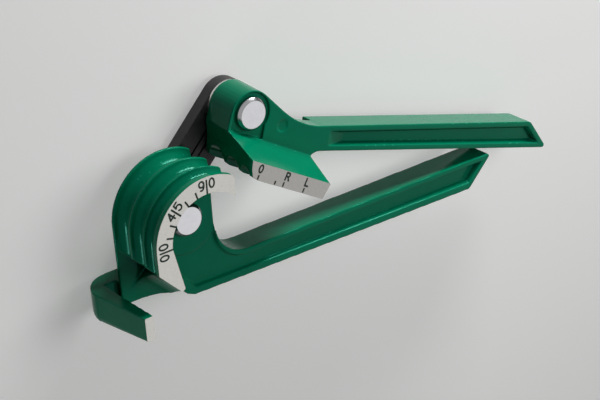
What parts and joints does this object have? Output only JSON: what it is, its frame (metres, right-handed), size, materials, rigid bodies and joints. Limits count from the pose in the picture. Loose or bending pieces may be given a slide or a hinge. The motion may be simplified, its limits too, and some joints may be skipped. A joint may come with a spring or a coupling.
{
  "type": "hand tube bender",
  "caption": "Hand tube bender: a grooved form wheel with a hook on one handle, and a grooved shoe on a second handle that a link carries round the wheel.",
  "frame": {"origin": "on the axis of the wheel pin, at the ground plane on which the peened end of that pin rests when the tool lies on its back", "axes": "+X along the form handle towards its tip, +Y in the plane of the tool towards the shoe pin, +Z along the pins towards the gauge face"},
  "size_m": [0.2504, 0.0877, 0.043],
  "materials": {
    "green_enamel": "gloss green enamel on die-cast aluminium, bare on the ground gauge faces",
    "black_steel": "matt black oxide on steel",
    "bright_steel": "bright nickel-plated steel",
    "washer_steel": "bright zinc-plated steel"
  },
  "bodies": {
    "form": {"form_handle": "green_enamel"},
    "link": {"link_plate": "black_steel", "wheel_pin": "bright_steel", "shoe_pin": "bright_steel", "wheel_washer": "washer_steel", "shoe_washer": "washer_steel", "wheel_burr": "washer_steel", "shoe_burr": "washer_steel"},
    "shoe": {"shoe_handle": "green_enamel"}
  },
  "joints": [
    {"name": "link_swing", "type": "hinge", "parent": "form", "child": "link", "pos_m": [0, 0, 0.018], "axis": [0, 0, 1], "range_deg": [0, 134]},
    {"name": "shoe_swing", "type": "hinge", "parent": "link", "child": "shoe", "pos_m": [0.03537, 0.03625, 0.018], "axis": [0, 0, 1], "range_deg": [0, 150]}
  ]
}
